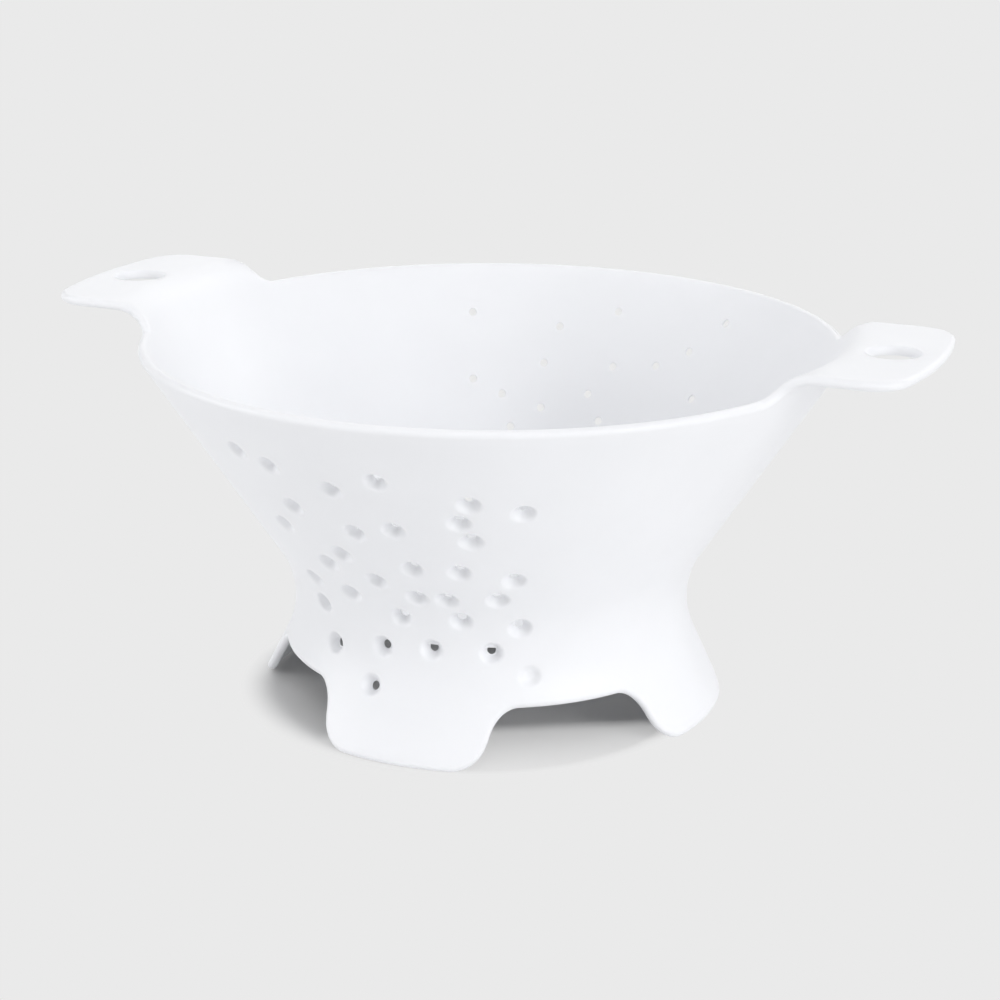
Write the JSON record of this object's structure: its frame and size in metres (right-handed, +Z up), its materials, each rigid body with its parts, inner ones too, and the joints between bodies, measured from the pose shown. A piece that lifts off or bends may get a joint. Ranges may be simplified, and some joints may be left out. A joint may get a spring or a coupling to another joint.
{
  "type": "colander",
  "caption": "Footed kitchen colander: conical moulded plastic bowl with strewn drain holes, flat tab handles with hang holes, and a flared skirt cut into feet.",
  "frame": {"origin": "on the table, under the axis of the bowl", "axes": "+X along the handles, +Z up, the front foot and the front drain holes towards -Y"},
  "size_m": [0.324, 0.25, 0.1413],
  "materials": {
    "white_plastic": "satin white moulded plastic"
  },
  "bodies": {
    "root": {"bowl_wall": "white_plastic", "bowl_floor": "white_plastic", "base_skirt": "white_plastic", "foot_front": "white_plastic", "foot_right": "white_plastic", "foot_back": "white_plastic", "foot_left": "white_plastic", "handle_right": "white_plastic", "handle_left": "white_plastic"}
  },
  "joints": []
}
